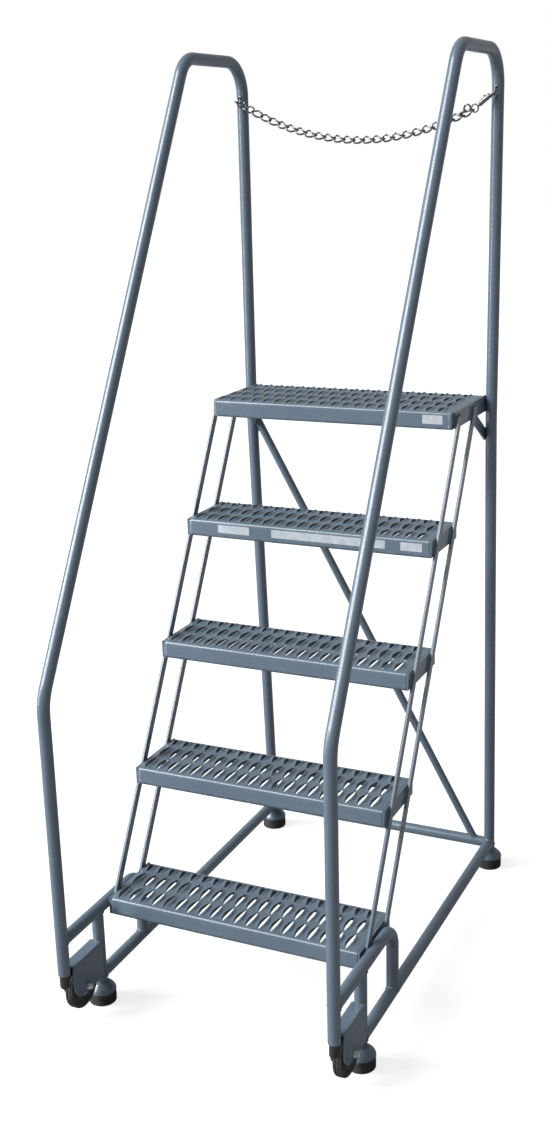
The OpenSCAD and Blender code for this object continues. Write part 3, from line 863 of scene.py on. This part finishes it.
def axle_bolt(side, axle):
    """A hexagon bolt whose thread starts beyond the bracket."""
    low, high = box(f"{side}_axle_bolt")
    bracket_low, bracket_high = box(f"{side}_wheel_bracket")
    head_x = bracket_low.x - 0.0002
    bm = bmesh.new()
    hexagon(bm, Vector((head_x, axle.y, axle.z)), -X, HEXAGON_R, head_x - low.x)
    shank_from = bracket_low.x - 0.001 - axle.x
    turned = [(0, shank_from), (SHANK_R, shank_from)]
    x = bracket_high.x + THREAD_START
    while x < high.x - 0.0016:
        turned += [(SHANK_R, x - axle.x), (SHANK_R - THREAD_DEEP, x + THREAD_HALF - axle.x)]
        x += THREAD_PITCH
    end = high.x - axle.x
    turned += [(SHANK_R - 0.0005, end - 0.0008), (SHANK_R - 0.0014, end), (0, end)]
    revolve(bm, turned, axle, X, 40)
    piece = add_piece(f"{side}_axle_bolt_threaded", bm, zinc, smooth=30)
    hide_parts(f"{side}_axle_bolt")


def axle_nut(side, axle):
    """A lock nut: a hexagon with a round collar."""
    low, high = box(f"{side}_axle_nut")
    seat = Vector((low.x, axle.y, axle.z))
    tall = high.x - low.x
    bore = 0.0049
    bm = bmesh.new()
    hexagon(bm, seat, X, HEXAGON_R, 0.0052)
    collar = [(bore, 0.0050), (0.0074, 0.0050), (0.0070, tall), (bore, tall)]
    revolve(bm, rounded_profile(collar, 0.0012), seat, X, 48, closed=True)
    piece = add_piece(f"{side}_axle_lock_nut", bm, zinc, smooth=30)
    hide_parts(f"{side}_axle_nut")


for side in SIDES:
    axle = middle(f"{side}_wheel_tyre")
    tyre(side, axle)
    wheel_hub(side, axle)
    axle_bolt(side, axle)
    axle_nut(side, axle)


# ------------------------------------------------------------------ chain

def islands(node):
    """Vertex lists of a CAD node's separate solids."""
    bm = bmesh.new()
    bm.from_mesh(frame["nodes"][node].data)
    bmesh.ops.remove_doubles(bm, verts=bm.verts, dist=1e-6)
    found = []
    seen = set()
    for start in bm.verts:
        if start in seen:
            continue
        group = []
        stack = [start]
        seen.add(start)
        while stack:
            v = stack.pop()
            group.append(v.co.copy())
            for edge in v.link_edges:
                neighbour = edge.other_vert(v)
                if neighbour not in seen:
                    seen.add(neighbour)
                    stack.append(neighbour)
        found.append(group)
    bm.free()
    return found


def link_axis(points):
    """Centre and long axis of one chain link's vertices."""
    low = min(p.x for p in points)
    high = max(p.x for p in points)
    ends = []
    for group in ([p for p in points if p.x < low + 0.002], [p for p in points if p.x > high - 0.002]):
        ends.append(sum(group, Vector()) / len(group))
    return (ends[0] + ends[1]) / 2, (ends[1] - ends[0]).normalized()


# half the wire, half the width and the straight length of a link, then its twist in degrees:
# half of it lies on each side of the middle, and ROLL_STEP is the turn from link to link
LINK_WIRE = 0.0020
LINK_END = 0.0070
LINK_STRAIGHT = 0.0143
HALF_TWIST = 45
ROLL_STEP = 15
EARLY_LINKS = 5
LATE_FROM = 9
LATE_LINKS = 12
ARC_STEPS = 16
SIDE_STEPS = 8
# where the butt weld thickens a link, as places in link_line's list
BUTT_WELD = slice(19, 22)


def link_line(centre, long, roll):
    """A twisted link: its two ends lie in planes turned square to each other."""
    across = long.cross(Y).normalized()
    line = []

    def add(along, out):
        turn = math.radians(roll + HALF_TWIST * max(-1.0, min(1.0, along / (LINK_STRAIGHT / 2))))
        line.append(centre + along * long + out * (math.cos(turn) * Y + math.sin(turn) * across))

    for end in (1, -1):
        for i in range(ARC_STEPS + 1):
            t = math.radians(90 - 180 * i / ARC_STEPS)
            add(end * (LINK_STRAIGHT / 2 + LINK_END * math.cos(t)), LINK_END * end * math.sin(t))
        for i in range(1, SIDE_STEPS):
            add(end * LINK_STRAIGHT * (0.5 - i / SIDE_STEPS), -end * LINK_END)
    return line


def link_roll(i):
    """Turn of link i's middle: it winds up over the first links, and a little more past the middle."""
    late = max(0.0, min(1.0, (i - LATE_FROM) / LATE_LINKS))
    return HALF_TWIST + ROLL_STEP * (min(i, EARLY_LINKS) + late)


links = []
for node in ("chain_odd_links", "chain_even_links"):
    links += [(*link_axis(group), node) for group in islands(node)]
links.sort(key=lambda found: found[0].x)
meshes = {node: bmesh.new() for node in ("chain_odd_links", "chain_even_links", "spare_chain_link")}
rolls = [(link, link_roll(i)) for i, link in enumerate(links)]
rolls.append(((*link_axis(islands("spare_chain_link")[0]), "spare_chain_link"), HALF_TWIST))
for (centre, long, node), roll in rolls:
    line = link_line(centre, long, roll)
    sweep(meshes[node], line, LINK_WIRE, sides=12, closed=True)
    sweep(meshes[node], line[BUTT_WELD], LINK_WIRE * 1.13, sides=12)
for node, bm in meshes.items():
    piece = add_piece(f"{node}_wire", bm, chain_zinc, body="chain")
    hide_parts(node)


def chain_staple(side):
    """A wire loop that comes out of the post, round the chain's end, and back in."""
    low, high = box(f"{side}_chain_staple")
    centre = (low + high) / 2
    wire = 0.0018
    loop = (high.z - low.z) / 2 - wire
    in_post = high.y + 0.0008
    bend_y = low.y + wire + loop
    x = centre.x
    steps = 24
    line = straight(Vector((x, in_post, centre.z + loop)), Vector((x, bend_y, centre.z + loop)), 4)
    for i in range(1, steps):
        t = math.radians(90 + 180 * i / steps)
        line.append(Vector((x, bend_y + loop * math.cos(t), centre.z + loop * math.sin(t))))
    line += straight(Vector((x, bend_y, centre.z - loop)), Vector((x, in_post, centre.z - loop)), 4)
    bm = bmesh.new()
    sweep(bm, line, wire, sides=16)
    for z in (-loop, loop):
        root = Vector((x, high.y + 0.0004, centre.z + z))
        bead(bm, ring_line(root, Y, wire + 0.0006, 20), 0.0010)
    piece = add_piece(f"{side}_chain_staple_wire", bm, chain_zinc)
    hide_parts(f"{side}_chain_staple")


def snap_hook_spring():
    """The coil spring between its seat and the bolt's shoulder."""
    slide = [joint for joint in frame["joints"] if joint["name"] == "snap_bolt_slide"][0]
    along = -Vector(slide["axis"]).normalized()
    bolt_points = [v.co.copy() for v in frame["nodes"]["snap_hook_bolt"].data.vertices]
    spring_points = [v.co.copy() for v in frame["nodes"]["snap_hook_spring"].data.vertices]
    tip_at = max(p.dot(along) for p in bolt_points)
    tip_points = [p for p in bolt_points if p.dot(along) > tip_at - 1e-5]
    tip = sum(tip_points, Vector()) / len(tip_points)
    seat_at = min(p.dot(along) for p in spring_points)
    shoulder_at = min(p.dot(along) for p in bolt_points) + 0.0036
    seat = tip + (seat_at - tip_at) * along
    side_a = along.orthogonal().normalized()
    side_b = along.cross(side_a)
    wire = 0.0003
    coil_r = 0.00185
    turn_steps = 16
    count = 6 * turn_steps
    length = shoulder_at - seat_at - 0.0008
    line = []
    for i in range(count + 1):
        t = 2 * math.pi * i / turn_steps
        turn = coil_r * (math.cos(t) * side_a + math.sin(t) * side_b)
        line.append(seat + along * (wire + length * i / count) + turn)
    bm = bmesh.new()
    sweep(bm, line, wire, sides=6)
    piece = add_piece("snap_hook_spring_coil", bm, zinc, body="chain")
    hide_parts("snap_hook_spring")
    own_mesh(piece)


for side in SIDES:
    chain_staple(side)
snap_hook_spring()


# ----------------------------------------------------------------- labels

def label(number, points):
    """A thin film with round corners where a CAD label lies."""
    low = Vector((min(p[i] for p in points) for i in range(3)))
    high = Vector((max(p[i] for p in points) for i in range(3)))
    half_w = (high.x - low.x) / 2
    half_h = (high.z - low.z) / 2
    corner = 0.0015
    outline = []
    for sx, sz, start in ((1, 1, 0), (-1, 1, 90), (-1, -1, 180), (1, -1, 270)):
        for i in range(5):
            t = math.radians(start + 90 * i / 4)
            x = sx * (half_w - corner) + corner * math.cos(t)
            outline.append((x, sz * (half_h - corner) + corner * math.sin(t)))
    bm = bmesh.new()
    slab(bm, outline, high.y - low.y, (low + high) / 2, X, Z)
    return add_piece(f"blank_label_{number}", bm, label_film)


labels = [label(number, points) for number, points in enumerate(islands("blank_labels"), 1)]
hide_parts("blank_labels")


# --------------------------------------------------- floor, light, camera

floor_bm = bmesh.new()
bmesh.ops.create_grid(floor_bm, x_segments=2, y_segments=2, size=30)
floor_mesh = bpy.data.meshes.new("floor")
floor_bm.to_mesh(floor_mesh)
floor_bm.free()
floor = bpy.data.objects.new("floor", floor_mesh)
bpy.context.scene.collection.objects.link(floor)
floor.location.z = -0.0005
floor_material, floor_tree, floor_shader = new_material("pale_floor")
floor_shader.inputs["Base Color"].default_value = (0.30, 0.30, 0.30, 1)
floor_shader.inputs["Roughness"].default_value = 0.9
floor_shader.inputs["Specular IOR Level"].default_value = 0.1
floor_mesh.materials.append(floor_material)
floor_shader.inputs["Emission Color"].default_value = (1, 1, 1, 1)
floor_sight = floor_tree.nodes.new("ShaderNodeLightPath").outputs["Is Camera Ray"]
floor_glow = remap(floor_tree, floor_sight, 0, 1, 0, 0.78)
floor_tree.links.new(floor_glow, floor_shader.inputs["Emission Strength"])

world = bpy.data.worlds.new("studio")
bpy.context.scene.world = world
world.use_nodes = True
background = world.node_tree.nodes["Background"]
background.inputs["Color"].default_value = (1, 1, 1, 1)
# the backdrop is white to the eye, and lights the ladder like a dimmer studio
sight = world.node_tree.nodes.new("ShaderNodeLightPath").outputs["Is Camera Ray"]
strength = remap(world.node_tree, sight, 0, 1, 0.38, 1.0)
world.node_tree.links.new(strength, background.inputs["Strength"])


def lamp(name, kind, place, aim, power):
    light = bpy.data.lights.new(name, kind)
    light.energy = power
    holder = bpy.data.objects.new(name, light)
    bpy.context.scene.collection.objects.link(holder)
    holder.location = place
    holder.rotation_euler = (Vector(aim) - Vector(place)).to_track_quat("-Z", "Y").to_euler()
    return light


key = lamp("key_left", "SUN", (-3.0, -2.6, 4.1), (0, 0, 0.9), 5.6)
key.angle = math.radians(40)
strip = lamp("strip_left", "AREA", (-2.6, -1.6, 1.6), (0, 0, 1.0), 60)
strip.shape = "RECTANGLE"
strip.size = 0.35
strip.size_y = 2.6
bpy.context.scene.view_settings.view_transform = "Standard"

CAMERA_AZIMUTH = math.radians(25.215)
CAMERA_PITCH = math.radians(17.351)
CAMERA_ROLL = math.radians(-1.532)
CAMERA_PLACE = Vector((1.2350, -2.7296, 1.8257))
camera_data = bpy.data.cameras.new("camera")
camera = bpy.data.objects.new("camera", camera_data)
bpy.context.scene.collection.objects.link(camera)
bpy.context.scene.camera = camera
heading = Vector((-math.sin(CAMERA_AZIMUTH), math.cos(CAMERA_AZIMUTH), 0))
forward = math.cos(CAMERA_PITCH) * heading - math.sin(CAMERA_PITCH) * Z
right = Vector((math.cos(CAMERA_AZIMUTH), math.sin(CAMERA_AZIMUTH), 0))
up = right.cross(forward)
rolled_right = math.cos(CAMERA_ROLL) * right + math.sin(CAMERA_ROLL) * up
rolled_up = -math.sin(CAMERA_ROLL) * right + math.cos(CAMERA_ROLL) * up
camera.matrix_world = Matrix((
    (rolled_right.x, rolled_up.x, -forward.x, CAMERA_PLACE.x),
    (rolled_right.y, rolled_up.y, -forward.y, CAMERA_PLACE.y),
    (rolled_right.z, rolled_up.z, -forward.z, CAMERA_PLACE.z),
    (0, 0, 0, 1),
))
camera_data.sensor_fit = "VERTICAL"
camera_data.sensor_height = 36
camera_data.lens = 45.06
camera_data.shift_y = 0.0228
camera_data.clip_end = 100
